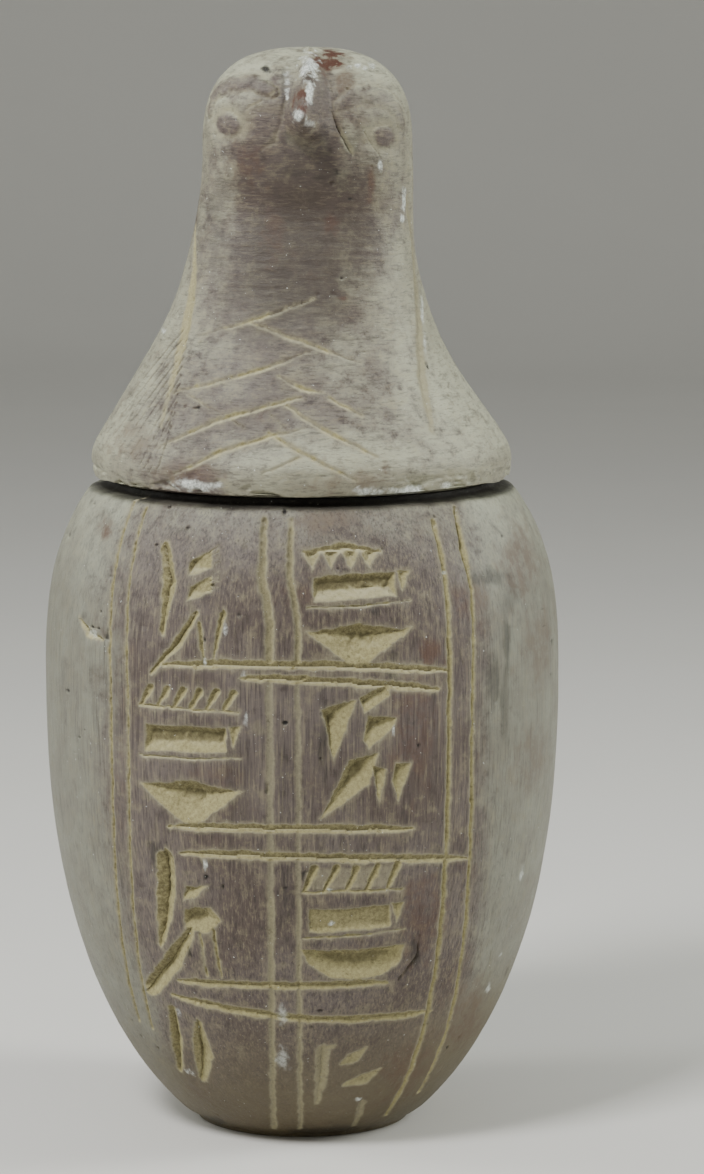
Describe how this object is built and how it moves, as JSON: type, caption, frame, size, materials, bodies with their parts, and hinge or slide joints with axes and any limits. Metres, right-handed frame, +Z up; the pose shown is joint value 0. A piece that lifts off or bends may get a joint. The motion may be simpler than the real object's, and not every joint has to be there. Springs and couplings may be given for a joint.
{
  "type": "canopic jar",
  "caption": "Hollow stone vessel with a carved panel on its front and a lift-off stopper carved as a falcon's head.",
  "frame": {"origin": "middle of the flat underside that the jar stands on", "axes": "+Z up, carved front and falcon's face towards -Y, +X to the viewer's right"},
  "size_m": [0.1152, 0.1152, 0.24],
  "materials": {
    "jar_stone": "matt grey-brown stone with vertical rasp marks and ochre earth in the cuts",
    "lid_stone": "matt grey-brown stone, pale greenish on the head, worn and chipped along its edge"
  },
  "bodies": {
    "root": {"jar": "jar_stone", "lid": "lid_stone"}
  },
  "joints": []
}
